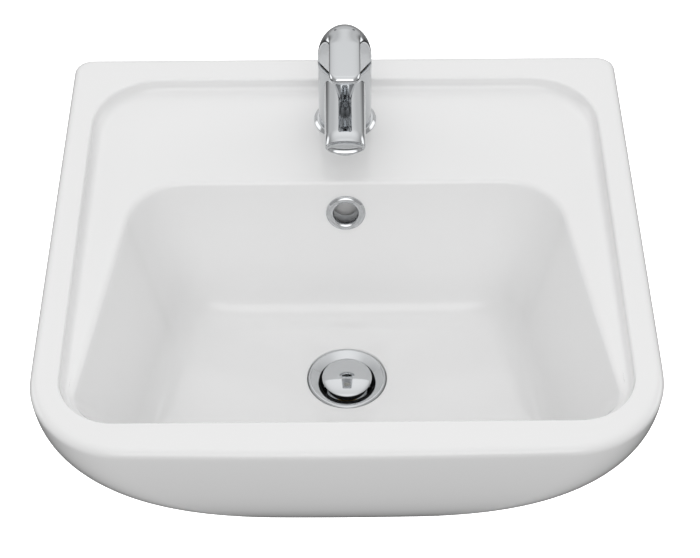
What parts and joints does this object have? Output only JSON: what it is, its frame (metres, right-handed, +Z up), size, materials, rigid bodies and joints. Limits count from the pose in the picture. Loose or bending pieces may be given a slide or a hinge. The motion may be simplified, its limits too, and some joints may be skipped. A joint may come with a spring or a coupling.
{
  "type": "washbasin",
  "caption": "Wall-hung ceramic hand basin with a tap deck, an overflow, a push-open waste and a single-lever mixer tap.",
  "frame": {"origin": "halfway between the two wall-bolt holes, on the face that lies against the wall", "axes": "+X to the right seen from the front, +Y towards the wall, +Z up"},
  "size_m": [0.45, 0.423, 0.3098],
  "materials": {
    "china": "gloss glaze",
    "chrome": "polished",
    "rubber": "matt",
    "white_plastic": "satin",
    "brass": "machined",
    "steel": "machined",
    "disc_ceramic": "lapped",
    "grey_plastic": "gloss"
  },
  "bodies": {
    "basin": {"basin": "china", "overflow_ring": "chrome", "waste_body": "chrome", "waste_top_seal": "rubber", "waste_low_seal": "rubber", "waste_slip_ring": "white_plastic", "waste_nut": "chrome", "latch_barrel": "brass", "latch_cap": "brass", "plug_spring": "steel", "base_gasket": "rubber", "base_ring": "chrome", "tap_body": "chrome", "aerator_shell": "chrome", "aerator_insert": "white_plastic", "aerator_washer": "rubber", "port_gasket": "rubber", "cartridge_base": "white_plastic", "disc_fixed": "disc_ceramic", "cartridge_shell": "white_plastic", "cartridge_nut": "brass", "fixing_stud": "steel", "shoe_gasket": "rubber", "shoe_plate": "steel", "fixing_nut": "brass"},
    "turret": {"carrier": "white_plastic", "stem_pin": "steel"},
    "lever": {"handle": "chrome", "lever_stem": "brass", "set_screw": "steel", "screw_cap": "grey_plastic", "mark_left": "grey_plastic", "mark_right": "grey_plastic"},
    "disc": {"disc_moving": "disc_ceramic", "slider": "white_plastic"},
    "plug": {"plug_cap": "chrome", "plug_seal": "rubber", "plug_stem": "brass", "latch_rotor": "white_plastic"}
  },
  "joints": [
    {"name": "lever_swing", "type": "hinge", "parent": "basin", "child": "turret", "pos_m": [0, -0.0665, 0.1], "axis": [0, 0, 1], "range_deg": [-50, 50]},
    {"name": "lever_lift", "type": "hinge", "parent": "turret", "child": "lever", "pos_m": [0, -0.0665, 0.1115], "axis": [-1, 0, 0], "range_deg": [0, 25]},
    {"name": "disc_slide", "type": "slide", "parent": "turret", "child": "disc", "axis": [0, -1, 0], "range_m": [0, 0.0036]},
    {"name": "plug_push", "type": "slide", "parent": "basin", "child": "plug", "axis": [0, 0, 1], "range_m": [-0.006, 0], "deforming": ["plug_spring"]}
  ],
  "couplings": [
    {"joint": "disc_slide", "follows": "lever_lift", "m_per_rad": 0.0082}
  ]
}
